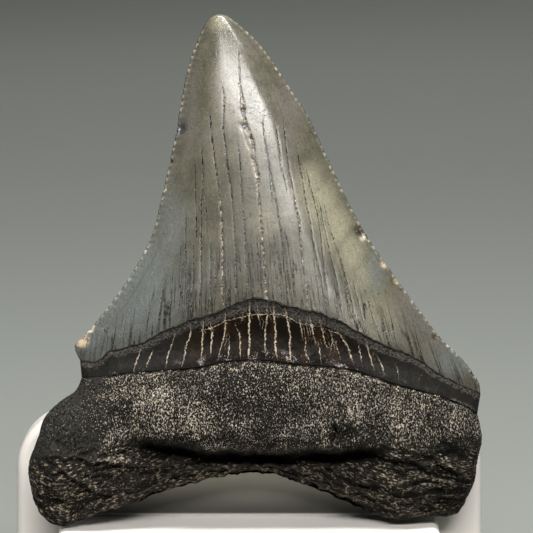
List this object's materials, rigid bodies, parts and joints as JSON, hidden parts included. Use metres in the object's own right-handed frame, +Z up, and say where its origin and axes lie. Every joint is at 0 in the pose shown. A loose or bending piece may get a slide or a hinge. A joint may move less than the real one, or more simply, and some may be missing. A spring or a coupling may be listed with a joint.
{
  "type": "fossil shark tooth on a stand",
  "caption": "Large triangular fossil shark tooth with finely notched edges and an arched rough root, leaning in a plain moulded display stand.",
  "frame": {"origin": "middle of the stand's footprint, on the ground", "axes": "+Z up, -Y towards the side of the tooth that is shown, +X to the right as seen from there"},
  "size_m": [0.065, 0.03, 0.0816],
  "materials": {
    "tooth": "glossy enamel, rough root",
    "stand": "satin white"
  },
  "bodies": {
    "root": {"tooth": "tooth", "stand": "stand"}
  },
  "joints": []
}
